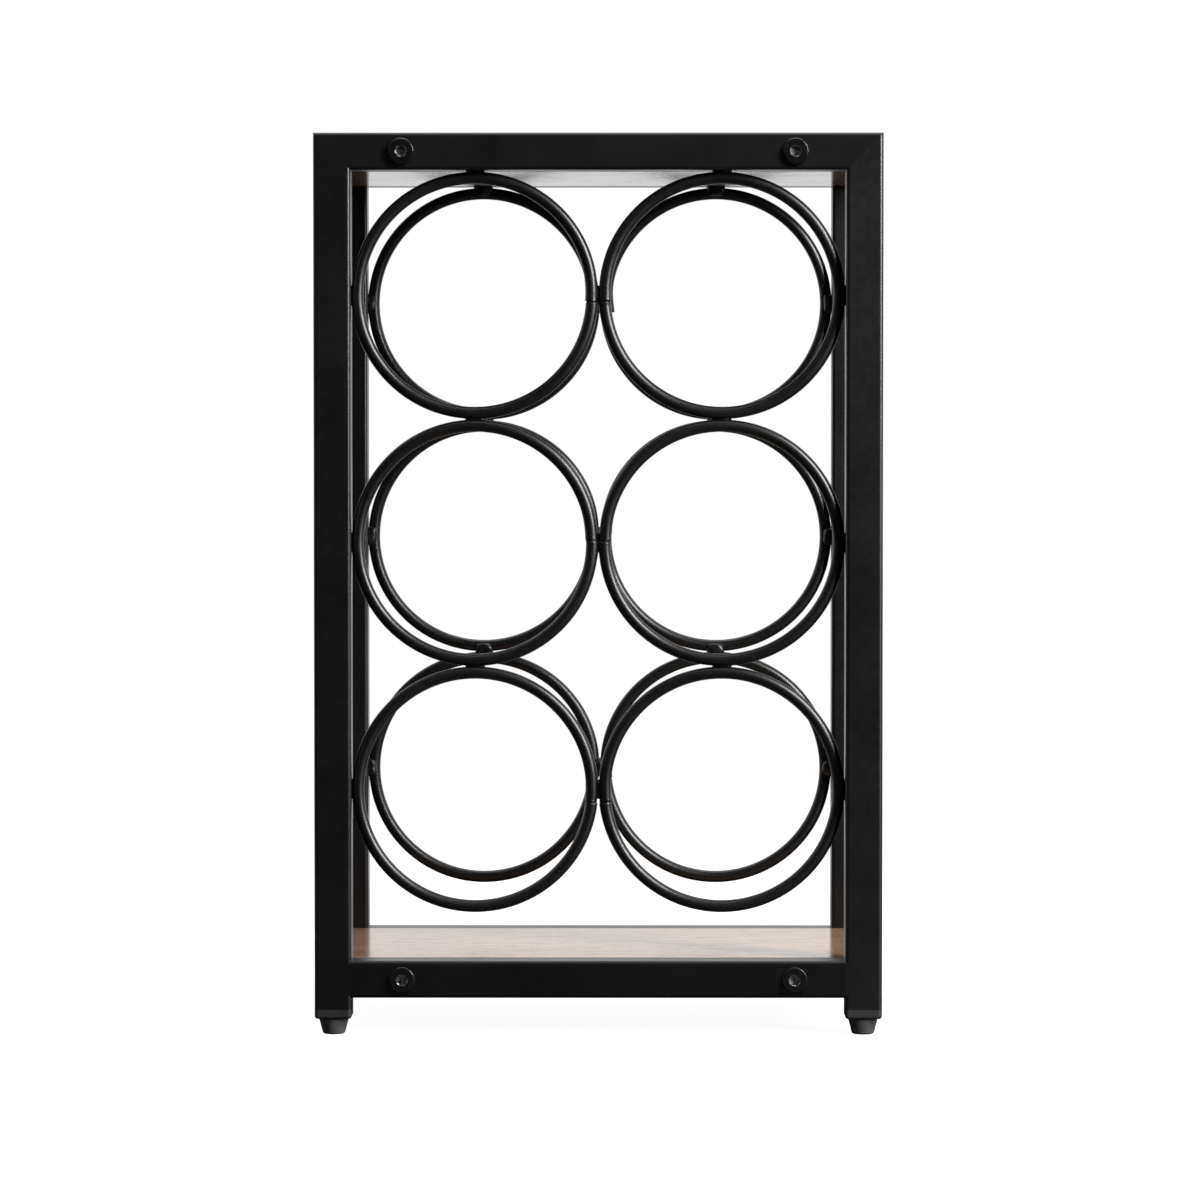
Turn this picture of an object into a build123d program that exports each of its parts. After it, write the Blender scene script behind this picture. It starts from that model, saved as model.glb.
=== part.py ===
from build123d import *
from math import hypot
import os

# A small free-standing wine rack for six bottles.  Two flat frames of welded square tube, each
# carrying six wire rings, are bolted to a top board and a bottom board.  Levelling glides screw
# into square plugs at the foot of each post.
#
# Frame of reference: origin on the floor under the middle of the rack, +Z up, +X to the right of
# someone standing in front of it, and the front of the rack faces -Y.  Millimetres.

# Driving dimensions
WIDTH = 230.0
DEPTH = 150.0
HEIGHT = 365.0

TUBE = 15.0                 # side of the square tube
TUBE_WALL = 1.2
TUBE_CORNER = 1.5           # outer corner radius
TUBE_INNER_CORNER = 0.4

RING_OUTER = 99.95
RING_WIRE = 5.0             # wire with its coat
RING_PITCH_X = 100.0
RING_PITCH_Z = 100.1
RING_TOP_GAP = 0.4          # fit-up gap between the top rings and the top rail

BOARD_THICKNESS = 15.0
EDGE_BAND = 0.6             # glued band on the two short ends of each board

BOTTOM_RAIL_Z = 15.2        # underside of the bottom rails and of the bottom board

BOLT_INSET = 35.5           # from the outer side of a post to the bolt
BOLT_HOLE = 6.5
BOLT_SHANK = 6.0
BOLT_LENGTH = 25.0
BOLT_HEAD = 10.8
BOLT_HEAD_HEIGHT = 1.9
BOLT_HEAD_FLAT = 9.2        # flat on top of the low head
BOLT_HEX = 4.0
BOLT_HEX_DEPTH = 2.4

INSERT_OUTER = 8.0
INSERT_BORE = 6.1
INSERT_LENGTH = 12.0
INSERT_HOLE_DEPTH = 14.0
INSERT_EDGE = 0.4

WELD_RADIUS = 3.2           # one tack of weld metal
WELD_INNER = 3.9            # how far it reaches from the rings' plane into the rack
WELD_OUTER = 0.7            # and towards the outside
WELD_EDGE = 1.9             # rounding of its inner end

GLIDE_HEIGHT = 6.3
GLIDE_TOP = 12.2
GLIDE_BASE = 8.8
GLIDE_EDGE = 1.2
GLIDE_GAP = 0.3             # under the plug when the glide is screwed right in

PLUG_FLANGE = 3.8
PLUG_FLANGE_EDGE = 1.3
PLUG_CORE = 11.0
PLUG_DEPTH = 15.0           # how far the plug reaches up into the post
PLUG_RIB = 1.2
PLUG_RIBS = 4

STUD_DIAMETER = 6.0
STUD_CLEARANCE = 0.05       # radial, in the plug's bore
STUD_TOP_Z = 21.0
STUD_SOCKET = 3.4           # how deep the stud is moulded into the glide

# Places worked out from the dimensions above
HALF_WIDTH = WIDTH / 2
HALF_DEPTH = DEPTH / 2
TUBE_BORE = TUBE - 2 * TUBE_WALL
POST_X = HALF_WIDTH - TUBE / 2
FRAME_Y = HALF_DEPTH - TUBE / 2
INNER_X = HALF_WIDTH - TUBE
INNER_Y = HALF_DEPTH - TUBE
TOP_RAIL_Z = HEIGHT - TUBE
RING_MEAN_RADIUS = (RING_OUTER - RING_WIRE) / 2
RING_TOP_ROW_Z = TOP_RAIL_Z - RING_TOP_GAP - RING_OUTER / 2
BOLT_X = HALF_WIDTH - BOLT_INSET
TOP_BOLT_Z = TOP_RAIL_Z + TUBE / 2
BOTTOM_BOLT_Z = BOTTOM_RAIL_Z + TUBE / 2
FLANGE_Z = GLIDE_HEIGHT + GLIDE_GAP
POST_BOTTOM_Z = FLANGE_Z + PLUG_FLANGE

SIDES = {"left": -1, "right": 1}
FACES = {"front": -1, "back": 1}
RING_ROWS = ["top", "middle", "bottom"]
SEAM_TURN = 45.0            # turns the seams of round faces away from the points where things touch


def write(name, solids):
    """Write one node, one solid or a group of separate solids, to its own file."""
    group = list(solids) if isinstance(solids, (list, ShapeList)) else [solids]
    shape = group[0] if len(group) == 1 else Compound(children=group)
    shape.label = name
    export_step(shape, f"parts/{name}.step")


def largest_solid(shape):
    return max(shape.solids(), key=lambda solid: solid.volume)


def tube_outside(length):
    """The tube's outer form, standing on the origin along +Z."""
    return extrude(RectangleRounded(TUBE, TUBE, TUBE_CORNER), length)


def square_tube(length):
    """A hollow square tube, standing on the origin along +Z."""
    bore = extrude(RectangleRounded(TUBE_BORE, TUBE_BORE, TUBE_INNER_CORNER), length)
    return tube_outside(length) - bore


def along_x(shape, length):
    """Lay a shape that stands along +Z over, centred on the YZ plane."""
    return Pos(-length / 2, 0, 0) * Rot(0, 90, 0) * shape


def mitre_plane(side):
    """The 45 degree plane of a top corner, its normal pointing up and into the top rail."""
    return Plane(origin=(side * INNER_X, 0, TOP_RAIL_Z), z_dir=(-side, 0, 1))


def post(side, face):
    tube = Pos(side * POST_X, 0, POST_BOTTOM_Z) * square_tube(HEIGHT - POST_BOTTOM_Z)
    tube = split(tube, bisect_by=mitre_plane(side), keep=Keep.BOTTOM)
    return Pos(0, face * FRAME_Y, 0) * tube


def bolt_holes(z):
    hole = Rot(90, 0, 0) * Cylinder(BOLT_HOLE / 2, 2 * TUBE)
    return [Pos(side * BOLT_X, 0, z) * hole for side in SIDES.values()]


def top_rail(face):
    tube = Pos(0, 0, TOP_BOLT_Z) * along_x(square_tube(WIDTH), WIDTH)
    for side in SIDES.values():
        tube = split(tube, bisect_by=mitre_plane(side), keep=Keep.TOP)
    return Pos(0, face * FRAME_Y, 0) * (tube - bolt_holes(TOP_BOLT_Z))


def bottom_rail(face):
    length = 2 * INNER_X
    tube = Pos(0, 0, BOTTOM_BOLT_Z) * along_x(square_tube(length), length)
    return Pos(0, face * FRAME_Y, 0) * (tube - bolt_holes(BOTTOM_BOLT_Z))


def bottom_rail_welds(face):
    """Weld metal, ground flush, where the rail's ends meet the rounded corners of the posts."""
    length = 2 * (INNER_X + TUBE_CORNER)
    filled = Pos(0, 0, BOTTOM_BOLT_Z) * along_x(tube_outside(length), length)
    filled -= Pos(0, 0, BOTTOM_BOLT_Z) * Box(2 * INNER_X, 2 * TUBE, 2 * TUBE)
    for side in SIDES.values():
        filled -= Pos(side * POST_X, 0, 0) * tube_outside(HEIGHT)
    return (Pos(0, face * FRAME_Y, 0) * filled).solids()


def ring_centre(side, row):
    return side * RING_PITCH_X / 2, RING_TOP_ROW_Z - row * RING_PITCH_Z


def ring(side, row, face):
    x, z = ring_centre(side, row)
    closed_wire = Rot(90, 0, 0) * Rot(0, 0, SEAM_TURN) * Torus(RING_MEAN_RADIUS, RING_WIRE / 2)
    return Pos(x, face * FRAME_Y, z) * closed_wire


def weld(x, z, face, neighbours):
    """One tack on the rack's inner side of a joint, shaped by the pieces it joins."""
    depth = WELD_INNER + WELD_OUTER
    lump = Cylinder(WELD_RADIUS, depth, align=(Align.CENTER, Align.CENTER, Align.MIN))
    lump = fillet(lump.edges().sort_by(Axis.Z)[-1], WELD_EDGE)
    inwards = Rot(face * 90, 0, 0) * Rot(0, 0, SEAM_TURN)
    tack = Pos(x, face * (FRAME_Y + WELD_OUTER), z) * inwards * lump
    for neighbour in neighbours:
        tack -= neighbour
    return largest_solid(tack)


def ring_to_post_welds(face, rings):
    tacks = []
    for side in SIDES.values():
        outside = Pos(side * POST_X, face * FRAME_Y, 0) * tube_outside(HEIGHT)
        for row in range(len(RING_ROWS)):
            z = ring_centre(side, row)[1]
            tacks.append(weld(side * INNER_X, z, face, [outside, rings[side, row]]))
    return tacks


def ring_to_rail_welds(face, rings):
    outside = Pos(0, face * FRAME_Y, TOP_BOLT_Z) * along_x(tube_outside(WIDTH), WIDTH)
    tacks = []
    for side in SIDES.values():
        x = ring_centre(side, 0)[0]
        z = TOP_RAIL_Z - RING_TOP_GAP / 2
        tacks.append(weld(x, z, face, [outside, rings[side, 0]]))
    return tacks


def ring_to_ring_welds(face, rings):
    left, right = SIDES.values()
    tacks = []
    for row in range(len(RING_ROWS)):
        z = ring_centre(left, row)[1]
        tacks.append(weld(0, z, face, [rings[left, row], rings[right, row]]))
    for side in SIDES.values():
        for row in range(len(RING_ROWS) - 1):
            x, z = ring_centre(side, row)
            pair = [rings[side, row], rings[side, row + 1]]
            tacks.append(weld(x, z - RING_PITCH_Z / 2, face, pair))
    return tacks


def board(z):
    """A board between the frames, with blind holes for the threaded inserts in its long edges."""
    panel = Pos(0, 0, z) * Box(WIDTH - 2 * EDGE_BAND, 2 * INNER_Y, BOARD_THICKNESS)
    hole = Rot(90, 0, 0) * Cylinder(INSERT_OUTER / 2, INSERT_HOLE_DEPTH)
    for side in SIDES.values():
        for face in FACES.values():
            panel -= Pos(side * BOLT_X, face * (INNER_Y - INSERT_HOLE_DEPTH / 2), z) * hole
    return panel


def edge_bands(z):
    band = Box(EDGE_BAND, 2 * INNER_Y, BOARD_THICKNESS)
    return [Pos(side * (HALF_WIDTH - EDGE_BAND / 2), 0, z) * band for side in SIDES.values()]


def inserts(z):
    """Threaded sleeves, flush with the board's edge."""
    sleeve = Cylinder(INSERT_OUTER / 2, INSERT_LENGTH)
    sleeve = chamfer(sleeve.edges(), INSERT_EDGE)
    sleeve -= Cylinder(INSERT_BORE / 2, INSERT_LENGTH)
    placed = []
    for side in SIDES.values():
        for face in FACES.values():
            y = face * (INNER_Y - INSERT_LENGTH / 2)
            placed.append(Pos(side * BOLT_X, y, z) * Rot(90, 0, 0) * sleeve)
    return placed


def low_head_bolt():
    """A bolt with a low round head and a hexagon socket, head up, its seat on the XY plane."""
    rim = (BOLT_HEAD / 2, 0)
    top = (BOLT_HEAD_FLAT / 2, BOLT_HEAD_HEIGHT)
    # The head's side is part of a ball whose centre lies this far below the seat.
    drop = (rim[0] ** 2 - top[0] ** 2 - top[1] ** 2) / (2 * top[1])
    outline = Line((0, 0), rim) + RadiusArc(rim, top, -hypot(rim[0], drop))
    outline += Polyline(top, (0, BOLT_HEAD_HEIGHT), (0, 0))
    head = revolve(Plane.XZ * make_face(outline), Axis.Z)
    shank_edge = 0.6
    shank = Cylinder(BOLT_SHANK / 2, BOLT_LENGTH, align=(Align.CENTER, Align.CENTER, Align.MAX))
    shank = chamfer(shank.edges().sort_by(Axis.Z)[0], shank_edge)
    socket = extrude(RegularPolygon(BOLT_HEX / 2, 6, major_radius=False), BOLT_HEX_DEPTH)
    return head + shank - Pos(0, 0, BOLT_HEAD_HEIGHT - BOLT_HEX_DEPTH) * socket


def bolts(face, z):
    turned = Rot(-face * 90, 0, 0) * low_head_bolt()
    return [Pos(side * BOLT_X, face * HALF_DEPTH, z) * turned for side in SIDES.values()]


def foot_plug():
    """A square plug with a rounded flange, a core with ribs that grip the tube, and a bore."""
    flange = extrude(RectangleRounded(TUBE, TUBE, TUBE_CORNER), PLUG_FLANGE)
    flange = fillet(flange.faces().sort_by(Axis.Z)[0].edges(), PLUG_FLANGE_EDGE)
    plug = flange + Pos(0, 0, PLUG_FLANGE) * extrude(Rectangle(PLUG_CORE, PLUG_CORE), PLUG_DEPTH)
    rib = extrude(RectangleRounded(TUBE_BORE, TUBE_BORE, TUBE_INNER_CORNER), PLUG_RIB)
    spacing = PLUG_DEPTH / PLUG_RIBS
    for number in range(PLUG_RIBS):
        plug += Pos(0, 0, PLUG_FLANGE + (number + 0.5) * spacing - PLUG_RIB / 2) * rib
    bore_length = PLUG_FLANGE + PLUG_DEPTH
    bore = Cylinder(STUD_DIAMETER / 2 + STUD_CLEARANCE, 2 * bore_length)
    return Pos(0, 0, FLANGE_Z) * (plug - bore)


def glide():
    """A round tapered glide, standing on the floor, with the socket that its stud fills."""
    base = (GLIDE_BASE / 2, 0)
    top = (GLIDE_TOP / 2, GLIDE_HEIGHT)
    body = revolve(Plane.XZ * make_face(Polyline((0, 0), base, top, (0, GLIDE_HEIGHT), (0, 0))), Axis.Z)
    body = fillet(body.edges().sort_by(Axis.Z)[0], GLIDE_EDGE)
    socket = Cylinder(STUD_DIAMETER / 2, STUD_SOCKET, align=(Align.CENTER, Align.CENTER, Align.MAX))
    return body - Pos(0, 0, GLIDE_HEIGHT) * socket


def stud():
    bottom_z = GLIDE_HEIGHT - STUD_SOCKET
    tip_edge = 0.7
    rod = Cylinder(STUD_DIAMETER / 2, STUD_TOP_Z - bottom_z, align=(Align.CENTER, Align.CENTER, Align.MIN))
    rod = chamfer(rod.edges().sort_by(Axis.Z)[-1], tip_edge)
    return Pos(0, 0, bottom_z) * rod


def write_frame(face_name, face):
    for side_name, side in SIDES.items():
        write(f"{face_name}_{side_name}_post", post(side, face))
    write(f"{face_name}_top_rail", top_rail(face))
    write(f"{face_name}_bottom_rail", bottom_rail(face))
    write(f"{face_name}_bottom_rail_welds", bottom_rail_welds(face))
    rings = {}
    for side_name, side in SIDES.items():
        for row, row_name in enumerate(RING_ROWS):
            rings[side, row] = ring(side, row, face)
            write(f"{face_name}_ring_{row_name}_{side_name}", rings[side, row])
    write(f"{face_name}_ring_to_post_welds", ring_to_post_welds(face, rings))
    write(f"{face_name}_ring_to_rail_welds", ring_to_rail_welds(face, rings))
    write(f"{face_name}_ring_to_ring_welds", ring_to_ring_welds(face, rings))


def write_feet(face_name, face):
    for side_name, side in SIDES.items():
        place = Pos(side * POST_X, face * FRAME_Y, 0)
        write(f"{face_name}_{side_name}_foot_plug", place * foot_plug())
        write(f"{face_name}_{side_name}_glide", place * glide())
        write(f"{face_name}_{side_name}_stud", place * stud())


os.makedirs("parts", exist_ok=True)
for frame_name, frame_face in FACES.items():
    write_frame(frame_name, frame_face)
    write_feet(frame_name, frame_face)
for level, level_z in {"top": TOP_BOLT_Z, "bottom": BOTTOM_BOLT_Z}.items():
    write(f"{level}_board", board(level_z))
    write(f"{level}_board_edge_bands", edge_bands(level_z))
    write(f"{level}_board_inserts", inserts(level_z))
    for frame_name, frame_face in FACES.items():
        write(f"{frame_name}_{level}_bolts", bolts(frame_face, level_z))
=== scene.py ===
import math
import random

import bmesh
import bpy
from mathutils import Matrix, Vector, noise


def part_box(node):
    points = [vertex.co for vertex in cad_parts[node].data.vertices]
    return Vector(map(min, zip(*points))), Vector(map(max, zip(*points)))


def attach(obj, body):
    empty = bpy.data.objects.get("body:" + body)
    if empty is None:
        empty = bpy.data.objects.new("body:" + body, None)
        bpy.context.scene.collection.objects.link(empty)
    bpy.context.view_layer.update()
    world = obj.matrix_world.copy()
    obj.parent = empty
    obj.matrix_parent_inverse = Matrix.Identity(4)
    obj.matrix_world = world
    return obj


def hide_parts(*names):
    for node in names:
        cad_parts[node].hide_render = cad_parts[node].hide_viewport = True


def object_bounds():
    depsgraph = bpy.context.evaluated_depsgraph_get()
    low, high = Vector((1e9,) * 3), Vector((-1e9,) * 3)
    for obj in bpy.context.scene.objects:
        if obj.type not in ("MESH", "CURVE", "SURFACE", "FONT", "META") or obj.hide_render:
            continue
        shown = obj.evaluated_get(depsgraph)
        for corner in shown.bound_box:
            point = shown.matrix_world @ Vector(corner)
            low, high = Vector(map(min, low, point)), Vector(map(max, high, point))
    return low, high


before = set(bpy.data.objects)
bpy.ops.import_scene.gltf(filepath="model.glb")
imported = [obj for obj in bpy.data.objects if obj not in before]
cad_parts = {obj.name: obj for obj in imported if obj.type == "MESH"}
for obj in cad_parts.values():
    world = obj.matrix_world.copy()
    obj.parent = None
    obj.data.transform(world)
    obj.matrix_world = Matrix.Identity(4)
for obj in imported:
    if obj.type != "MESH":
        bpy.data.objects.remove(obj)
cad_lo, cad_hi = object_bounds()

# Names of the repeated parts, and the side of the rack that each is on
FACES = {"front": -1, "back": 1}
SIDES = {"left": -1, "right": 1}
RING_ROWS = ["top", "middle", "bottom"]
LEVELS = ["top", "bottom"]
RACK = "rack"

MM = 0.001
TURN = 2 * math.pi


# ---------------------------------------------------------------- node helpers for the materials

class Graph:
    """Short calls for building one material's nodes."""

    def __init__(self, name):
        self.material = bpy.data.materials.new(name)
        self.material.use_nodes = True
        self.nodes = self.material.node_tree.nodes
        self.links = self.material.node_tree.links
        self.shader = self.nodes["Principled BSDF"]

    def link(self, source, target):
        if isinstance(source, (int, float, tuple)):
            target.default_value = source
        else:
            self.links.new(source, target)

    def place(self, scale=(1, 1, 1), offset=(0, 0, 0)):
        """Object coordinates, in metres, stretched by scale."""
        coordinates = self.nodes.new("ShaderNodeTexCoord")
        mapping = self.nodes.new("ShaderNodeMapping")
        mapping.inputs["Scale"].default_value = scale
        mapping.inputs["Location"].default_value = offset
        self.links.new(coordinates.outputs["Object"], mapping.inputs["Vector"])
        return mapping.outputs["Vector"]

    def noise(self, vector, scale, detail=2.0, rough=0.5, distortion=0.0):
        node = self.nodes.new("ShaderNodeTexNoise")
        self.links.new(vector, node.inputs["Vector"])
        node.inputs["Scale"].default_value = scale
        node.inputs["Detail"].default_value = detail
        node.inputs["Roughness"].default_value = rough
        node.inputs["Distortion"].default_value = distortion
        return node.outputs["Fac"]

    def cells(self, vector, scale):
        """Distance to the nearest of many scattered points."""
        node = self.nodes.new("ShaderNodeTexVoronoi")
        self.links.new(vector, node.inputs["Vector"])
        node.inputs["Scale"].default_value = scale
        return node.outputs["Distance"]

    def bands(self, vector, scale, direction, distortion, detail=2.0, detail_scale=1.0):
        node = self.nodes.new("ShaderNodeTexWave")
        node.wave_type = "BANDS"
        node.bands_direction = direction
        self.links.new(vector, node.inputs["Vector"])
        node.inputs["Scale"].default_value = scale
        node.inputs["Distortion"].default_value = distortion
        node.inputs["Detail"].default_value = detail
        node.inputs["Detail Scale"].default_value = detail_scale
        return node.outputs["Fac"]

    def along(self, vector, axis):
        """One coordinate of a vector."""
        split = self.nodes.new("ShaderNodeSeparateXYZ")
        self.links.new(vector, split.inputs["Vector"])
        return split.outputs[axis]

    def math(self, operation, a, b=0.0):
        node = self.nodes.new("ShaderNodeMath")
        node.operation = operation
        self.link(a, node.inputs[0])
        self.link(b, node.inputs[1])
        return node.outputs["Value"]

    def span(self, value, low, high, to_low=0.0, to_high=1.0):
        """Map low..high onto to_low..to_high, held at its ends."""
        node = self.nodes.new("ShaderNodeMapRange")
        self.link(value, node.inputs["Value"])
        node.inputs["From Min"].default_value = low
        node.inputs["From Max"].default_value = high
        node.inputs["To Min"].default_value = to_low
        node.inputs["To Max"].default_value = to_high
        return node.outputs["Result"]

    def mix(self, factor, a, b):
        node = self.nodes.new("ShaderNodeMix")
        node.data_type = "RGBA"
        self.link(factor, node.inputs["Factor"])
        self.link(a, node.inputs["A"])
        self.link(b, node.inputs["B"])
        return node.outputs["Result"]

    def bump(self, height, distance, strength=1.0, below=None):
        """A bump whose full height is distance, in metres."""
        node = self.nodes.new("ShaderNodeBump")
        self.link(height, node.inputs["Height"])
        node.inputs["Distance"].default_value = distance
        node.inputs["Strength"].default_value = strength
        if below is not None:
            self.links.new(below, node.inputs["Normal"])
        return node.outputs["Normal"]

    def finish(self, colour, roughness, normal, **fixed):
        """Feed the shader.  Fixed values go on its own sockets, spaces written as underscores."""
        self.link(colour, self.shader.inputs["Base Color"])
        self.link(roughness, self.shader.inputs["Roughness"])
        self.link(normal, self.shader.inputs["Normal"])
        for name, value in fixed.items():
            self.shader.inputs[name.replace("_", " ")].default_value = value
        return self.material


def grey(value):
    """A grey as a linear colour."""
    return (value, value, value, 1.0)


# ---------------------------------------------------------------- materials

def powder_coat():
    """Satin black powder coat: faint orange peel, fine texture and a few pale specks of dust."""
    g = Graph("powder_coat")
    here = g.place()
    peel = g.noise(here, 420, 2.0, 0.45)
    cloud = g.noise(here, 26, 3.0, 0.55)
    tone = g.mix(g.span(cloud, 0.35, 0.7), (0.0019, 0.0019, 0.0020, 1), (0.0032, 0.0032, 0.0033, 1))
    speck = g.span(g.cells(here, 260), 0.045, 0.02)
    rare = g.span(g.noise(here, 70, 1.0), 0.6, 0.66)
    colour = g.mix(g.math("MULTIPLY", g.math("MULTIPLY", speck, rare), 0.4), tone, grey(0.05))
    rough = g.math("ADD", g.span(peel, 0.3, 0.7, 0.33, 0.37), g.span(cloud, 0.3, 0.7, -0.02, 0.03))
    normal = g.bump(peel, 0.000012, 0.15)
    return g.finish(colour, rough, normal, Specular_IOR_Level=0.5)


GRAIN_STRETCH = 9.0         # how much longer the grain's marks are along it than across it
BAND_SHIFT = 3.7            # the end bands show another stretch of the pattern
PORE_STRETCH = 26           # the pores repeat this much oftener than the grain
SAW_ALONG = 90              # the saw's marks are short along the grain
SAW_ACROSS = 4              # and long across it


def melamine(name, across_x):
    """Rustic brown printed wood under a clear satin melamine face.

    The grain runs along X, or along Y where across_x is true, as on the glued end bands.
    """
    g = Graph(name)
    stretch = (GRAIN_STRETCH, 1.0, GRAIN_STRETCH) if across_x else (1.0, GRAIN_STRETCH, GRAIN_STRETCH)
    grain_space = g.place(stretch, (BAND_SHIFT if across_x else 0.0, 0.0, 0.0))
    direction = "X" if across_x else "Y"
    warp = g.noise(grain_space, 5.0, 3.0, 0.55)
    knot = g.span(g.cells(grain_space, 3.1), 0.02, 0.16, 1.0, 0.0)
    growth = g.bands(grain_space, 6.0, direction, 7.0, 3.0, 0.9)
    streak = g.noise(grain_space, 34.0, 4.0, 0.62, 0.35)
    pore_space = g.place(tuple(value * PORE_STRETCH for value in stretch))
    pore = g.span(g.noise(pore_space, 5.0, 2.0, 0.5), 0.56, 0.68)
    saw_marks = (SAW_ACROSS, SAW_ALONG, SAW_ACROSS) if across_x else (SAW_ALONG, SAW_ACROSS, SAW_ACROSS)
    saw_space = g.place(saw_marks)
    saw = g.span(g.noise(saw_space, 3.4, 2.0, 0.5), 0.52, 0.62)
    patch = g.noise(g.place((6, 11, 11)), 1.6, 2.0, 0.5)
    light = (0.415, 0.262, 0.168, 1)
    middle = (0.250, 0.142, 0.088, 1)
    dark = (0.094, 0.052, 0.034, 1)
    faded = (0.29, 0.21, 0.145, 1)
    sawn = (0.42, 0.30, 0.20, 1)
    tone = g.mix(g.span(warp, 0.3, 0.72), light, middle)
    tone = g.mix(g.math("MULTIPLY", g.span(growth, 0.25, 0.95), 0.55), tone, middle)
    tone = g.mix(g.math("MULTIPLY", g.span(streak, 0.48, 0.72), 0.75), tone, dark)
    tone = g.mix(g.math("MULTIPLY", g.span(patch, 0.5, 0.75), 0.35), tone, faded)
    tone = g.mix(g.math("MULTIPLY", knot, 0.8), tone, dark)
    tone = g.mix(g.math("MULTIPLY", pore, 0.55), tone, dark)
    tone = g.mix(g.math("MULTIPLY", saw, 0.14), tone, sawn)
    rough = g.math("ADD", g.span(streak, 0.3, 0.7, 0.12, 0.17), g.math("MULTIPLY", pore, 0.06))
    height = g.math("SUBTRACT", g.math("MULTIPLY", streak, 0.5), g.math("MULTIPLY", pore, 0.5))
    normal = g.bump(height, 0.00005, 0.5)
    normal = g.bump(g.noise(g.place(), 1500, 2.0), 0.000008, 0.5, normal)
    return g.finish(tone, rough, normal, Specular_IOR_Level=0.55)


SCUFF_FULL = 0.2 * MM       # below this height the floor's scuffs are at their strongest
SCUFF_NONE = 1.1 * MM       # and above this one there are none


def moulded_plastic(name, lift):
    """Black polyethylene of the plugs and glides, scuffed where it meets the floor. A lift above 1 is painted
    light: a lighter copy standing in for floor light mirrored in the glides.
    """
    g = Graph(name)
    here = g.place()
    spark = g.noise(here, 3400, 2.0, 0.6)
    cloud = g.noise(here, 180, 2.0, 0.5)
    # Lift scales the tone: above 1 it is painted light, not the plastic's own colour
    tone = g.mix(g.span(cloud, 0.3, 0.7), grey(0.014 * lift), grey(0.020 * lift))
    low = g.span(g.along(here, "Z"), SCUFF_FULL, SCUFF_NONE, 1.0, 0.0)
    scuff = g.span(g.noise(g.place((1, 1, 5)), 900, 3.0, 0.7), 0.5, 0.62)
    colour = g.mix(g.math("MULTIPLY", g.math("MULTIPLY", low, scuff), 0.6), tone, grey(0.09))
    rough = g.math("ADD", g.span(cloud, 0.3, 0.7, 0.42, 0.50), g.math("MULTIPLY", low, 0.12))
    normal = g.bump(spark, 0.000012, 0.6)
    normal = g.bump(cloud, 0.00002, 0.4, normal)
    return g.finish(colour, rough, normal, Specular_IOR_Level=0.5)


def black_oxide():
    """Blackened steel of the bolts' heads, oiled and fairly glossy."""
    g = Graph("black_oxide")
    here = g.place()
    cloud = g.noise(here, 520, 3.0, 0.6)
    fine = g.noise(here, 4200, 2.0, 0.5)
    colour = g.mix(g.span(cloud, 0.35, 0.7), grey(0.0022), grey(0.0048))
    rough = g.span(cloud, 0.3, 0.7, 0.17, 0.25)
    return g.finish(colour, rough, g.bump(fine, 0.000003, 0.5), Specular_IOR_Level=0.5)


def worn_socket_painted_glint():
    """Steel shining through the black where the key has rubbed the socket, also made bright as a painted
    highlight so that the socket's facets glint.
    """
    g = Graph("worn_socket_painted_glint")
    here = g.place()
    cloud = g.noise(here, 900, 3.0, 0.65)
    colour = g.mix(g.span(cloud, 0.38, 0.6), grey(0.035), grey(0.42))
    rough = g.span(cloud, 0.3, 0.7, 0.40, 0.26)
    return g.finish(colour, rough, g.bump(cloud, 0.00002, 0.5), Metallic=0.9)


def bright_zinc():
    """Zinc plate of the studs and inserts."""
    g = Graph("bright_zinc")
    here = g.place()
    cloud = g.noise(here, 300, 3.0, 0.6)
    fine = g.noise(here, 5200, 2.0, 0.5)
    colour = g.mix(g.span(cloud, 0.3, 0.7), (0.50, 0.50, 0.49, 1), (0.64, 0.64, 0.62, 1))
    rough = g.span(cloud, 0.3, 0.7, 0.26, 0.38)
    return g.finish(colour, rough, g.bump(fine, 0.000006, 0.5), Metallic=1.0)


COAT = powder_coat()
WOOD = melamine("rustic_board", False)
BAND = melamine("rustic_edge_band", True)
PLUG_PLASTIC = moulded_plastic("plug_plastic", 1.0)
# The glides' copy is painted light, 3.6 times lighter, standing in for the floor's light mirrored in their
# lower faces
GLIDE_PLASTIC_PAINTED_LIGHTER = moulded_plastic("glide_plastic_painted_lighter", 3.6)
OXIDE = black_oxide()
SOCKET_WEAR_AND_GLINT = worn_socket_painted_glint()
ZINC = bright_zinc()


# ---------------------------------------------------------------- mesh helpers

# Edges that turn by more than this many degrees are drawn sharp
SHARP_WIRE = 80
SHARP_BOLT = 28
SHARP_THREAD = 50
SHARP_BOARD = 12


def shown_piece(name, vertices, faces, material, body, replaced, sharp_degrees):
    """A visual piece in place of the CAD nodes in replaced, riding on a body."""
    mesh = bpy.data.meshes.new(name)
    mesh.from_pydata(vertices, [], faces)
    mesh.validate()
    mesh.update()
    mesh.polygons.foreach_set("use_smooth", [True] * len(mesh.polygons))
    mesh.set_sharp_from_angle(angle=math.radians(sharp_degrees))
    mesh.materials.append(material)
    piece = bpy.data.objects.new(name, mesh)
    bpy.context.scene.collection.objects.link(piece)
    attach(piece, body)
    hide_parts(*replaced)
    return piece


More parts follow.
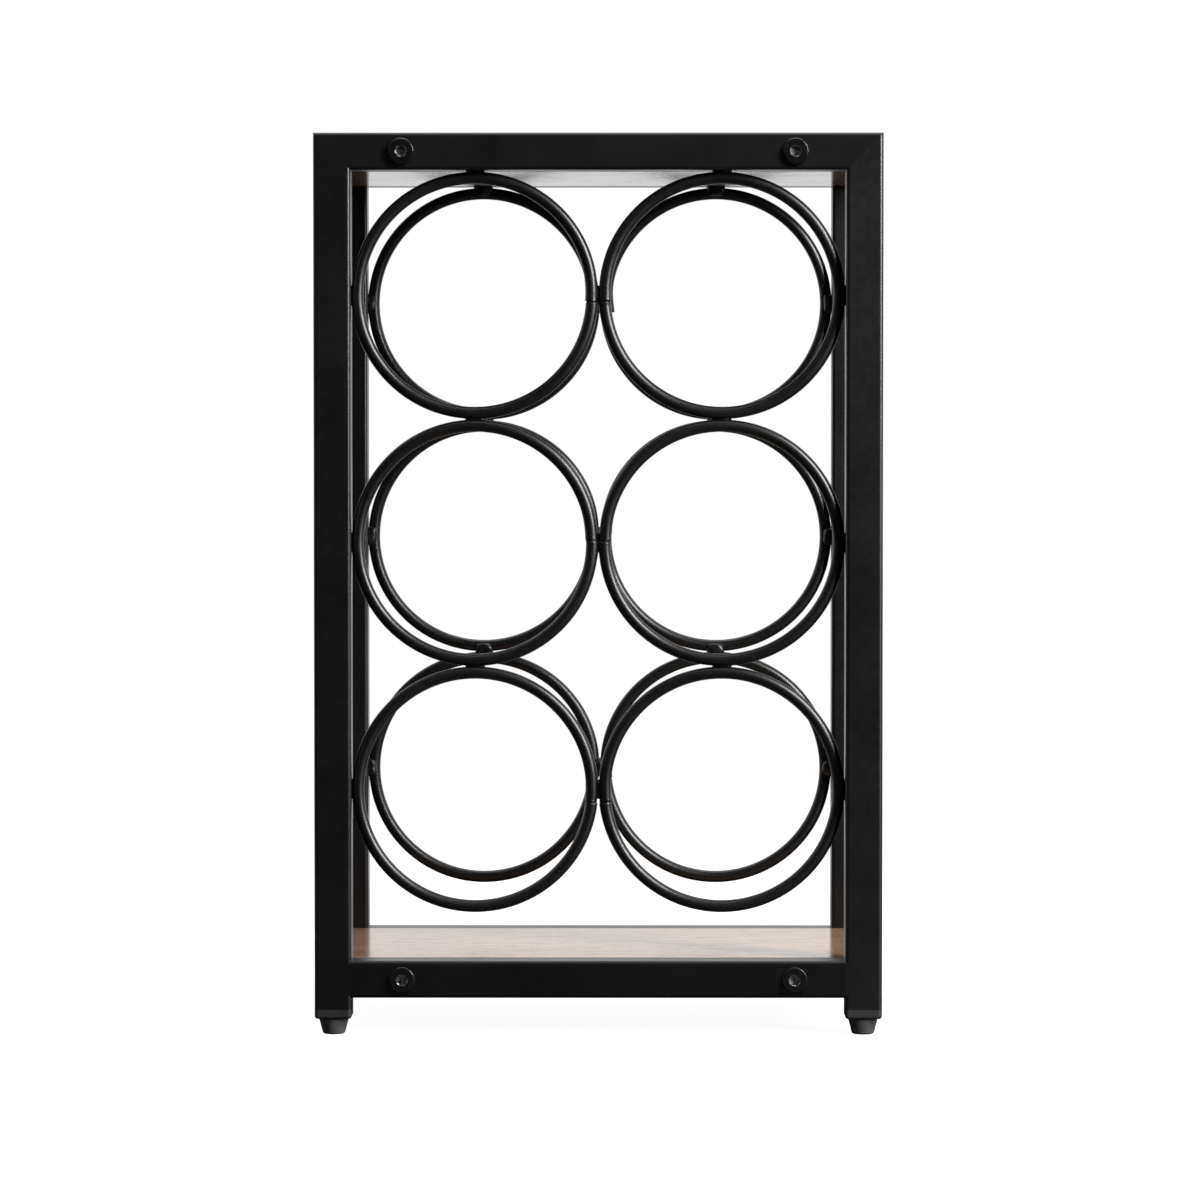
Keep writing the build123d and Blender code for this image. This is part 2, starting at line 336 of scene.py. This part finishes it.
def skin(loops, closed=False):
    """Faces between loops of equal length.  Closed joins the last loop to the first."""
    count = len(loops[0])
    vertices = [point for loop in loops for point in loop]
    faces = []
    for index in range(len(loops) if closed else len(loops) - 1):
        here = index * count
        there = (index + 1) % len(loops) * count
        for step in range(count):
            after = (step + 1) % count
            faces.append((here + step, here + after, there + after, there + step))
    if not closed:
        faces.append(tuple(reversed(range(count))))
        faces.append(tuple(range(len(vertices) - count, len(vertices))))
    return vertices, faces


def circle(radius, height, segments, turn=0.0):
    """Points of a level circle about +Z."""
    angles = [turn + TURN * step / segments for step in range(segments)]
    return [Vector((radius * math.cos(a), radius * math.sin(a), height)) for a in angles]


def merge(parts):
    """Join the vertices and faces of several closed skins."""
    vertices, faces = [], []
    for part_vertices, part_faces in parts:
        base = len(vertices)
        vertices += part_vertices
        faces += [tuple(base + index for index in face) for face in part_faces]
    return vertices, faces


def middle_of(node):
    """The middle of a CAD node's box."""
    lo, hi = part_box(node)
    return (Vector(lo) + Vector(hi)) / 2


# ---------------------------------------------------------------- rings

RING_SIDES = 32             # round the wire
RING_STEPS = 264            # round the ring
SEAM_REACH = 4 * MM         # how far the closing weld is drawn with finer steps
SEAM_STEP = 0.14 * MM
SEAM_WIDTH = 1.0 * MM
SEAM_LUMP = 0.20 * MM
SEAM_SHARE = 0.3            # the lump's mean height, as a share of SEAM_LUMP
SEAM_UNEVEN = 0.9           # and how much it varies
SEAM_FINENESS = 900         # how fast its unevenness changes along the wire, per metre
SEAM_WRAP = 1.6             # and round it, per radian
SEAM_SEED = 3.1             # how far apart two rings' seams lie in the noise
NOTCH_WIDTH = 0.26 * MM     # the gap that the weld leaves between the wire's ends
NOTCH_DEPTH = 0.42 * MM
NOTCH_WANDER = 1.6          # how far the notch strays along the wire, in its own widths
NOTCH_WRAP = 1.1            # and how fast, per radian round the wire
NOTCH_SEED = 2.3
END_EASE = 9 * MM           # over what length a wire's end bends in from the true circle
END_MISS = 0.28 * MM        # how far the upper end misses the lower one, towards the ring's middle
# How far each row's closing welds lie under the rings' middle height
SEAM_DROPS = {"top": 2.7 * MM, "middle": -0.8 * MM, "bottom": 5.4 * MM}
STRAY_RING = "back_ring_top_right"    # one ring was closed badly, and an end of its wire stands off
STRAY_MISS = 1.25 * MM      # how far that end stands off the true circle
STRAY_DROP = 4.2 * MM       # how far under the middle height the stray end runs
RING_SEEDS = 7              # keeps the rows' seeds apart


def ring_distances(radius):
    """Distances along the wire from its closing weld, close together near the weld."""
    half = math.pi * radius
    fine = int(SEAM_REACH / SEAM_STEP)
    near = [SEAM_STEP * step for step in range(-fine, fine + 1)]
    spread = 2 * half - 2 * fine * SEAM_STEP
    far = [fine * SEAM_STEP + spread * step / RING_STEPS for step in range(1, RING_STEPS)]
    return near + far


def ring_piece(node, seam_angle, upper, miss, seed):
    """A wire ring and its closing weld.  Upper is +1 where the upper end lies at rising angles."""
    lo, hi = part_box(node)
    centre = middle_of(node)
    wire = (hi[1] - lo[1]) / 2
    radius = (hi[0] - lo[0]) / 2 - wire
    around = TURN * radius
    loops = []
    for distance in ring_distances(radius):
        signed = distance if distance < around / 2 else distance - around
        inward = miss * math.exp(-((signed / END_EASE) ** 2)) if signed * upper > 0 else 0.0
        seam = SEAM_LUMP * math.exp(-((signed / SEAM_WIDTH) ** 2))
        angle = seam_angle + signed / radius
        outwards = Vector((math.cos(angle), 0, math.sin(angle)))
        loop = []
        for step in range(RING_SIDES):
            turn = TURN * step / RING_SIDES
            rough = noise.noise(Vector((signed * SEAM_FINENESS, turn * SEAM_WRAP, seed * SEAM_SEED)))
            jag = NOTCH_WIDTH * NOTCH_WANDER * noise.noise(Vector((seed * NOTCH_SEED, turn * NOTCH_WRAP, 0)))
            reach = wire + seam * (SEAM_SHARE + SEAM_UNEVEN * rough)
            reach -= NOTCH_DEPTH * math.exp(-(((signed - jag) / NOTCH_WIDTH) ** 2))
            across = outwards * (math.cos(turn) * reach - inward)
            loop.append(centre + outwards * radius + across + Vector((0, math.sin(turn) * reach, 0)))
        loops.append(loop)
    vertices, faces = skin(loops, closed=True)
    return shown_piece(f"{node}_wire", vertices, faces, COAT, RACK, [node], SHARP_WIRE)


for face_name in FACES:
    for side_name, side in SIDES.items():
        for row, row_name in enumerate(RING_ROWS):
            ring_node = f"{face_name}_ring_{row_name}_{side_name}"
            towards_middle = 0.0 if side < 0 else math.pi
            upper_end = 1 if side < 0 else -1
            ring_lo, ring_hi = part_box(ring_node)
            drop, ring_miss = SEAM_DROPS[row_name], END_MISS
            if ring_node == STRAY_RING:
                drop, ring_miss = STRAY_DROP, STRAY_MISS
            lean = -upper_end * 2 * drop / (ring_hi[0] - ring_lo[0])
            ring_piece(ring_node, towards_middle + lean, upper_end, ring_miss, row * RING_SEEDS + side)


# ---------------------------------------------------------------- weld tacks

TACK_LONG = 4.2 * MM        # half sizes: along the joint, across it and into the rack
TACK_WIDE = 3.0 * MM
TACK_DEEP = 2.7 * MM
TACK_INWARD = 1.9 * MM      # how far its middle lies from the rings' plane, towards the inside
TACK_TO_RING = 0.8 * MM     # and from the joint, over the ring
TACK_POWER = 3.0            # 2 would be a ball, and more is blockier
TACK_SEGMENTS = 32
TACK_RINGS = 20
TACK_SIZE = 0.94            # its mean reach, as a share of its half sizes
TACK_UNEVEN = 0.16          # its lumps,
TACK_COARSE = 1.4           # and how many there are
TACK_GRAIN = 0.03           # its grain,
TACK_FINE = 4               # and how fine it is
TACK_SEEDS = 3.7            # keeps the seeds of the three kinds apart
SPATTER_COUNT = 3           # beads of spatter by each tack
SPATTER_SIZE = (0.22 * MM, 0.42 * MM)
SPATTER_REACH = (5 * MM, 9 * MM)
SPATTER_LEAN = 1.2          # how far round the wire a bead may sit from its inner side, in radians
BEAD_SHARE = 0.8            # a bead's reach, as a share of its size
BEAD_SEGMENTS = 10
BEAD_RINGS = 7
X_AXIS, Z_AXIS = Vector((1, 0, 0)), Vector((0, 0, 1))
RIGHT, UP, LEFT, DOWN = (index * TURN / 4 for index in range(4))


def lump(centre, axes, swell, segments, rings):
    """A closed rounded block about a point.  Axes are its three half sizes, as vectors."""
    loops = []
    for ring in range(1, rings):
        polar = math.pi * (1 - ring / rings)
        loop = []
        for step in range(segments):
            turn = TURN * step / segments
            across = math.sin(polar)
            way = Vector((math.cos(polar), across * math.cos(turn), across * math.sin(turn)))
            block = sum(abs(part) ** TACK_POWER for part in way) ** (-1 / TACK_POWER)
            reach = block * swell(way)
            loop.append(centre + (axes[0] * way.x + axes[1] * way.y + axes[2] * way.z) * reach)
        loops.append(loop)
    return skin(loops)


def tack(centre, long_axis, wide_axis, seed):
    """A lump of weld metal, uneven, longest along the joint that it fills."""
    deep_axis = long_axis.cross(wide_axis)

    def swell(way):
        coarse = noise.noise(way * TACK_COARSE + Vector((seed * 5.3, seed * 1.9, 0)))
        fine = noise.noise(way * TACK_FINE + Vector((0, seed * 2.7, 0)))
        return TACK_SIZE + TACK_UNEVEN * coarse + TACK_GRAIN * fine

    axes = (long_axis * TACK_LONG, wide_axis * TACK_WIDE, deep_axis * TACK_DEEP)
    return lump(centre, axes, swell, TACK_SEGMENTS, TACK_RINGS)


def spatter(ring_centre, ring_angle, mean_radius, wire, inwards, draw):
    """Small beads on the wire on either side of a tack, on the rack's inner side."""
    beads = []
    for _ in range(SPATTER_COUNT):
        away = draw.choice((-1, 1)) * draw.uniform(*SPATTER_REACH)
        angle = ring_angle + away / mean_radius
        outwards = Vector((math.cos(angle), 0, math.sin(angle)))
        size = draw.uniform(*SPATTER_SIZE)
        lean = draw.uniform(-SPATTER_LEAN, SPATTER_LEAN)
        normal = outwards * math.sin(lean) + inwards * math.cos(lean)
        point = ring_centre + outwards * mean_radius + normal * wire
        axes = (X_AXIS * size, Z_AXIS * size, X_AXIS.cross(Z_AXIS) * size)
        beads.append(lump(point, axes, lambda way: BEAD_SHARE, BEAD_SEGMENTS, BEAD_RINGS))
    return beads


def frame_welds(face_name, face):
    """The tacks of one frame: rings to posts, to the top rail and to each other."""
    draw = random.Random(f"spatter on the {face_name} frame")
    inwards = Vector((0, -face, 0))
    lo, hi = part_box(f"{face_name}_ring_top_left")
    outer, wire = (hi[0] - lo[0]) / 2, (hi[1] - lo[1]) / 2
    kinds = {"post": [], "rail": [], "ring": []}

    def join(kind, centre, angle, lift, long_axis, wide_axis):
        outwards = Vector((math.cos(angle), 0, math.sin(angle)))
        middle = centre + outwards * (outer - lift) + inwards * TACK_INWARD
        seed = len(kinds[kind]) + TACK_SEEDS * len(kind) + face
        kinds[kind].append(tack(middle, long_axis, wide_axis, seed))
        kinds[kind].extend(spatter(centre, angle, outer - wire, wire, inwards, draw))

    for side_name, side in SIDES.items():
        for row, row_name in enumerate(RING_ROWS):
            centre = middle_of(f"{face_name}_ring_{row_name}_{side_name}")
            join("post", centre, LEFT if side < 0 else RIGHT, TACK_TO_RING, Z_AXIS, X_AXIS)
            if row == 0:
                join("rail", centre, UP, TACK_TO_RING, X_AXIS, Z_AXIS)
            if row < len(RING_ROWS) - 1:
                join("ring", centre, DOWN, TACK_TO_RING, X_AXIS, Z_AXIS)
            if side < 0:
                join("ring", centre, RIGHT, 0.0, Z_AXIS, X_AXIS)
    for kind, parts in kinds.items():
        node = f"{face_name}_ring_to_{kind}_welds"
        vertices, faces = merge(parts)
        shown_piece(f"{node}_lumps", vertices, faces, COAT, RACK, [node], SHARP_WIRE)


for face_name, face in FACES.items():
    frame_welds(face_name, face)


# ---------------------------------------------------------------- bolts

HEAD_SEGMENTS = 72          # a whole number of times six, for the socket's corners
HEAD_ROUND = 0.62 * MM      # how wide the rounded rim of the head is
RIM_HEIGHT = 0.55 * MM      # the straight side under the rounding
ROUND_STEPS = 12
SOCKET_ACROSS = 4.0 * MM
SOCKET_DEPTH = 2.4 * MM
SOCKET_TAPER = 0.90         # its floor is this much smaller than its mouth
SOCKET_LIP = 0.30 * MM      # the cone cut round its mouth
MOUTH_EXTRA = 0.06 * MM     # how far the cone reaches past the hexagon's corners
DRILL_SHARE = 0.3           # the drilled hollow in its floor, as a share of the hexagon
DRILL_STEP = 0.10 * MM
DRILL_DEPTH = 0.45 * MM
DRILL_TIP = 0.05 * MM
SEAT_EDGE = 0.12 * MM       # the broken edge of the head, against the rail
FIRST_TWIST = 0.35          # how the sockets are turned, in radians: the left bolt,
NEXT_TWIST = 0.55           # the right one past it,
TOP_TWIST = 0.4             # and those of the top rail past the bottom one's
SHANK_RADIUS = 3.0 * MM
THREAD_PITCH = 1.0 * MM
THREAD_DEPTH = 0.45 * MM
THREAD_STEPS = 8            # for each turn of the thread
TIP = 0.7 * MM


def thread_loops(radius, start, end, segments):
    """Loops of a screw thread along +Z, plain for half a pitch at each end."""
    count = int(round((end - start) / THREAD_PITCH * THREAD_STEPS))
    loops = []
    for index in range(count + 1):
        height = start + (end - start) * index / count
        fade = min(1.0, (height - start) / THREAD_PITCH, (end - height) / THREAD_PITCH)
        loop = []
        for step in range(segments):
            phase = (height / THREAD_PITCH - step / segments) % 1.0
            cut = THREAD_DEPTH * abs(2 * phase - 1) * fade
            turn = TURN * step / segments
            loop.append(Vector(((radius - cut) * math.cos(turn), (radius - cut) * math.sin(turn), height)))
        loops.append(loop)
    return loops


def hexagon(across, height, segments):
    """A hexagon's outline, drawn with as many points as the circles around it."""
    points = []
    for step in range(segments):
        turn = TURN * step / segments
        from_flat = turn % (TURN / 6) - TURN / 12
        reach = across / 2 / math.cos(from_flat)
        points.append(Vector((reach * math.cos(turn), reach * math.sin(turn), height)))
    return points


def low_head_bolt(head_radius, head_height, length):
    """A low-head bolt along +Z, its seat at zero height.  Returns its loops and the socket's first."""
    tip = circle(SHANK_RADIUS - TIP, -length, HEAD_SEGMENTS)
    loops = [tip] + thread_loops(SHANK_RADIUS, TIP - length, 0.0, HEAD_SEGMENTS)
    loops.append(circle(head_radius - SEAT_EDGE, 0.0, HEAD_SEGMENTS))
    loops.append(circle(head_radius, SEAT_EDGE, HEAD_SEGMENTS))
    rise = head_height - RIM_HEIGHT
    for step in range(ROUND_STEPS + 1):
        part = math.pi / 2 * step / ROUND_STEPS
        radius = head_radius - HEAD_ROUND * (1 - math.cos(part))
        loops.append(circle(radius, RIM_HEIGHT + rise * math.sin(part), HEAD_SEGMENTS))
    mouth = SOCKET_ACROSS / math.sqrt(3) + MOUTH_EXTRA
    loops.append(circle(mouth, head_height, HEAD_SEGMENTS))
    first_socket_loop = len(loops) - 1
    floor = head_height - SOCKET_DEPTH
    loops.append(hexagon(SOCKET_ACROSS, head_height - SOCKET_LIP, HEAD_SEGMENTS))
    loops.append(hexagon(SOCKET_ACROSS * SOCKET_TAPER, floor, HEAD_SEGMENTS))
    loops.append(circle(SOCKET_ACROSS * DRILL_SHARE, floor - DRILL_STEP, HEAD_SEGMENTS))
    loops.append(circle(DRILL_TIP, floor - DRILL_DEPTH, HEAD_SEGMENTS))
    return loops, first_socket_loop


def bolts_piece(face_name, face, level):
    """The two bolts of one rail, their sockets bright: rubbed steel and a painted highlight."""
    node = f"{face_name}_{level}_bolts"
    lo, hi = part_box(node)
    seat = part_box(f"{face_name}_{level}_rail")
    seat_y = seat[0][1] if face < 0 else seat[1][1]
    head_radius = (hi[2] - lo[2]) / 2
    length = hi[1] - seat_y if face < 0 else seat_y - lo[1]
    head_height = hi[1] - lo[1] - length
    middle = middle_of(node)
    reach = (hi[0] - lo[0]) / 2 - head_radius
    parts = []
    socket_faces = []
    for number, side in enumerate(SIDES.values()):
        loops, first_socket_loop = low_head_bolt(head_radius, head_height, length)
        twist = FIRST_TWIST + NEXT_TWIST * number + (TOP_TWIST if level == "top" else 0.0)
        placed = []
        for loop in loops:
            turned = []
            for point in loop:
                across = point.x * math.cos(twist) - point.y * math.sin(twist)
                upright = point.x * math.sin(twist) + point.y * math.cos(twist)
                place = (middle.x + side * reach + across, seat_y + face * point.z, middle.z - face * upright)
                turned.append(Vector(place))
            placed.append(turned)
        vertices, faces = skin(placed)
        start = sum(len(part[1]) for part in parts)
        socket_faces.append((start + first_socket_loop * HEAD_SEGMENTS, start + len(faces)))
        parts.append((vertices, faces))
    vertices, faces = merge(parts)
    piece = shown_piece(f"{node}_detail", vertices, faces, OXIDE, RACK, [node], SHARP_BOLT)
    piece.data.materials.append(SOCKET_WEAR_AND_GLINT)
    # The socket faces take the bright steel: partly wear, partly a painted highlight
    for first, last in socket_faces:
        for index in range(first, last):
            piece.data.polygons[index].material_index = 1
        piece.data.polygons[last - 2].material_index = 0    # the face that closes the shank's tip
    return piece


for face_name, face in FACES.items():
    for level in LEVELS:
        bolts_piece(face_name, face, level)


# ---------------------------------------------------------------- studs

STUD_SEGMENTS = 36


def stud_piece(node):
    """The threaded stud of a glide, which rides on the glide's body."""
    lo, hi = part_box(node)
    middle = middle_of(node)
    radius = (hi[0] - lo[0]) / 2
    length = hi[2] - lo[2]
    loops = thread_loops(radius, 0.0, length - TIP, STUD_SEGMENTS)
    loops.append(circle(radius - TIP, length, STUD_SEGMENTS))
    base = Vector((middle.x, middle.y, lo[2]))
    vertices, faces = skin([[base + point for point in loop] for loop in loops])
    glide = node.replace("stud", "glide")
    return shown_piece(f"{node}_thread", vertices, faces, ZINC, glide, [node], SHARP_THREAD)


for face_name in FACES:
    for side_name in SIDES:
        stud_piece(f"{face_name}_{side_name}_stud")


# ---------------------------------------------------------------- boards

BAND_EDGE = 0.25 * MM       # eased edges of the end bands
BOARD_EDGE = 0.05 * MM      # and of the boards, which are left nearly sharp


def eased_box(lo, hi, edge):
    """A box with small rounded edges, as vertices and faces."""
    shape = bmesh.new()
    bmesh.ops.create_cube(shape, size=1.0)
    for vertex in shape.verts:
        place = [(lo[axis] + hi[axis]) / 2 + vertex.co[axis] * (hi[axis] - lo[axis]) for axis in range(3)]
        vertex.co = Vector(place)
    bmesh.ops.bevel(
        shape,
        geom=list(shape.edges),
        offset=edge,
        segments=3,
        profile=0.5,
        affect="EDGES",
        clamp_overlap=True,
    )
    shape.verts.index_update()
    vertices = [vertex.co.copy() for vertex in shape.verts]
    faces = [tuple(vertex.index for vertex in face.verts) for face in shape.faces]
    shape.free()
    return vertices, faces


for level in LEVELS:
    board_lo, board_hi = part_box(f"{level}_board")
    vertices, faces = eased_box(board_lo, board_hi, BOARD_EDGE)
    shown_piece(f"{level}_board_panel", vertices, faces, WOOD, RACK, [f"{level}_board"], SHARP_BOARD)
    band_lo, band_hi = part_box(f"{level}_board_edge_bands")
    left_band = eased_box(band_lo, (board_lo[0], band_hi[1], band_hi[2]), BAND_EDGE)
    right_band = eased_box((board_hi[0], band_lo[1], band_lo[2]), band_hi, BAND_EDGE)
    vertices, faces = merge([left_band, right_band])
    node = f"{level}_board_edge_bands"
    shown_piece(f"{node}_strips", vertices, faces, BAND, RACK, [node], SHARP_BOARD)


# ---------------------------------------------------------------- finishes of the CAD nodes that stay

def repaint(node, material):
    """Give a CAD node that stays one of the finishes."""
    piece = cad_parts[node]
    if not piece.material_slots:
        piece.data.materials.append(material)
    for material_slot in piece.material_slots:
        material_slot.material = material


for face_name in FACES:
    for side_name in SIDES:
        repaint(f"{face_name}_{side_name}_post", COAT)
        repaint(f"{face_name}_{side_name}_foot_plug", PLUG_PLASTIC)
        repaint(f"{face_name}_{side_name}_glide", GLIDE_PLASTIC_PAINTED_LIGHTER)
    for level in LEVELS:
        repaint(f"{face_name}_{level}_rail", COAT)
    repaint(f"{face_name}_bottom_rail_welds", COAT)
for level in LEVELS:
    repaint(f"{level}_board_inserts", ZINC)


# ---------------------------------------------------------------- floor, light and camera

FLOOR_RADIUS = 6.0
FLOOR_THICKNESS = 0.002
FLOOR_SEGMENTS = 96
FLOOR_ROUGHNESS = 0.7
FLOOR_PALE = 0.30           # its base grey where it is seen or lies behind the rack
FLOOR_DIM = 0.015           # and in the light that it throws on the rack's front
FLOOR_NEAR = 0.35           # the floor's own tone holds this far out, and has gone by FLOOR_FAR
FLOOR_FAR = 1.1
FLOOR_BRIGHT_FROM = 0.25    # behind the rack the floor is bright in reflections too
FLOOR_BRIGHT_TO = 0.9
FLOOR_GLOW = 0.94           # lifts the floor, as it is seen directly, towards the white background


def studio_floor():
    """A pale round floor that fades into the white background."""
    rims = [circle(FLOOR_RADIUS, height, FLOOR_SEGMENTS) for height in (0.0, -FLOOR_THICKNESS)]
    vertices, faces = skin(rims)
    mesh = bpy.data.meshes.new("studio_floor")
    mesh.from_pydata(vertices, [], faces)
    mesh.update()
    g = Graph("pale_floor")
    here = g.place()
    seen = g.nodes.new("ShaderNodeLightPath").outputs["Is Camera Ray"]
    length = g.nodes.new("ShaderNodeVectorMath")
    length.operation = "LENGTH"
    g.links.new(here, length.inputs[0])
    fade = g.span(length.outputs["Value"], FLOOR_NEAR, FLOOR_FAR)
    behind = g.span(g.along(here, "Y"), FLOOR_BRIGHT_FROM, FLOOR_BRIGHT_TO)
    lit = g.math("MAXIMUM", seen, behind)
    white = g.nodes.new("ShaderNodeEmission")
    white.inputs["Color"].default_value = grey(1.0)
    blend = g.nodes.new("ShaderNodeMixShader")
    g.link(fade, blend.inputs[0])
    tone = g.mix(lit, grey(FLOOR_DIM), grey(FLOOR_PALE))
    g.finish(tone, FLOOR_ROUGHNESS, g.bump(g.noise(here, 900, 2.0), 0.00002, 0.3))
    g.shader.inputs["Emission Color"].default_value = grey(1.0)
    g.link(g.math("MULTIPLY", lit, FLOOR_GLOW), g.shader.inputs["Emission Strength"])
    g.link(lit, white.inputs["Strength"])
    g.links.new(g.shader.outputs[0], blend.inputs[1])
    g.links.new(white.outputs[0], blend.inputs[2])
    g.links.new(blend.outputs[0], g.nodes["Material Output"].inputs["Surface"])
    mesh.materials.append(g.material)
    floor = bpy.data.objects.new("studio_floor", mesh)
    bpy.context.scene.collection.objects.link(floor)


WORLD_FRONT = 0.055         # the world's light from the front
WORLD_FROM = -0.6           # it grows from this direction along Y
WORLD_TO = 0.5              # to full white at this one


def studio_world():
    """White behind the rack for the camera; softer light from the front than from behind."""
    world = bpy.data.worlds.new("studio")
    world.use_nodes = True
    nodes, links = world.node_tree.nodes, world.node_tree.links
    background = nodes["Background"]
    coordinates = nodes.new("ShaderNodeTexCoord")
    split = nodes.new("ShaderNodeSeparateXYZ")
    links.new(coordinates.outputs["Generated"], split.inputs["Vector"])
    towards = nodes.new("ShaderNodeMapRange")
    towards.inputs["From Min"].default_value = WORLD_FROM
    towards.inputs["From Max"].default_value = WORLD_TO
    towards.inputs["To Min"].default_value = WORLD_FRONT
    towards.inputs["To Max"].default_value = 1.0
    links.new(split.outputs["Y"], towards.inputs["Value"])
    path = nodes.new("ShaderNodeLightPath")
    pick = nodes.new("ShaderNodeMix")
    pick.data_type = "FLOAT"
    links.new(path.outputs["Is Camera Ray"], pick.inputs["Factor"])
    links.new(towards.outputs["Result"], pick.inputs["A"])
    pick.inputs["B"].default_value = 1.0
    background.inputs["Color"].default_value = grey(1.0)
    links.new(pick.outputs["Result"], background.inputs["Strength"])
    bpy.context.scene.world = world


def softbox(name, place, target, width, height, watts, lit=None, glossy=True):
    """A soft lamp.  It shines only on the pieces in lit, if given, and glossy lets them mirror it."""
    lamp = bpy.data.lights.new(name, "AREA")
    lamp.shape = "RECTANGLE"
    lamp.size = width
    lamp.size_y = height
    lamp.energy = watts
    holder = bpy.data.objects.new(name, lamp)
    holder.location = place
    holder.rotation_mode = "QUATERNION"
    holder.rotation_quaternion = (Vector(target) - Vector(place)).to_track_quat("-Z", "Y")
    holder.visible_glossy = glossy
    if lit:
        group = bpy.data.collections.new(f"lit by the {name} softbox")
        for piece in lit:
            group.objects.link(piece)
        holder.light_linking.receiver_collection = group
    bpy.context.scene.collection.objects.link(holder)


# The camera stands a little right of the middle, at two thirds of the rack's height, and looks
# slightly down and to the left.
CAMERA_DISTANCE = 2.0144    # from the front of the frames
CAMERA_SIDE = 0.0096
CAMERA_HEIGHT = 0.2448
CAMERA_AIM_X = 0.0007       # where its axis meets the plane of the front frame
CAMERA_AIM_Z = 0.1766
CAMERA_LENS = 149.7
CAMERA_SENSOR = 36.0


def studio_camera():
    """The camera, aimed at the front frame."""
    front_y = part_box("front_top_rail")[0][1]
    camera = bpy.data.cameras.new("camera")
    camera.sensor_width = CAMERA_SENSOR
    camera.lens = CAMERA_LENS
    holder = bpy.data.objects.new("camera", camera)
    place = Vector((CAMERA_SIDE, front_y - CAMERA_DISTANCE, CAMERA_HEIGHT))
    aim = Vector((CAMERA_AIM_X, front_y, CAMERA_AIM_Z))
    holder.location = place
    holder.rotation_mode = "QUATERNION"
    holder.rotation_quaternion = (aim - place).to_track_quat("-Z", "Y")
    bpy.context.scene.collection.objects.link(holder)
    bpy.context.scene.camera = holder


centre_height = (cad_lo[2] + cad_hi[2]) / 2
studio_floor()
studio_world()
# The mirror image of the key would whiten everything that faces up, so the boards and the rails
# have lamps of their own, without one.
shapes = [item for item in bpy.data.objects if item.type == "MESH"]
boards = [item for item in shapes if "_board" in item.name]
rails = [item for item in shapes if item.name.endswith("_rail")]
others = [item for item in shapes if item not in boards and item not in rails]
rack_middle = (0, 0, centre_height)
softbox("key", (0.845, -0.682, 0.681), rack_middle, 0.29, 0.715, 28, lit=others)
softbox("board_key", (1.30, -1.05, 0.95), rack_middle, 0.45, 1.1, 66, lit=boards, glossy=False)
softbox("rail_key", (0.45, -0.36, 0.70), rack_middle, 0.3, 0.3, 38, lit=rails, glossy=False)
softbox("glint", (1.30, -1.05, 0.25), rack_middle, 0.45, 0.5, 2.4, lit=others)
softbox("top", (0.1, 0.1, 1.5), rack_middle, 1.2, 1.2, 8)
studio_camera()
bpy.context.scene.view_settings.view_transform = "Standard"
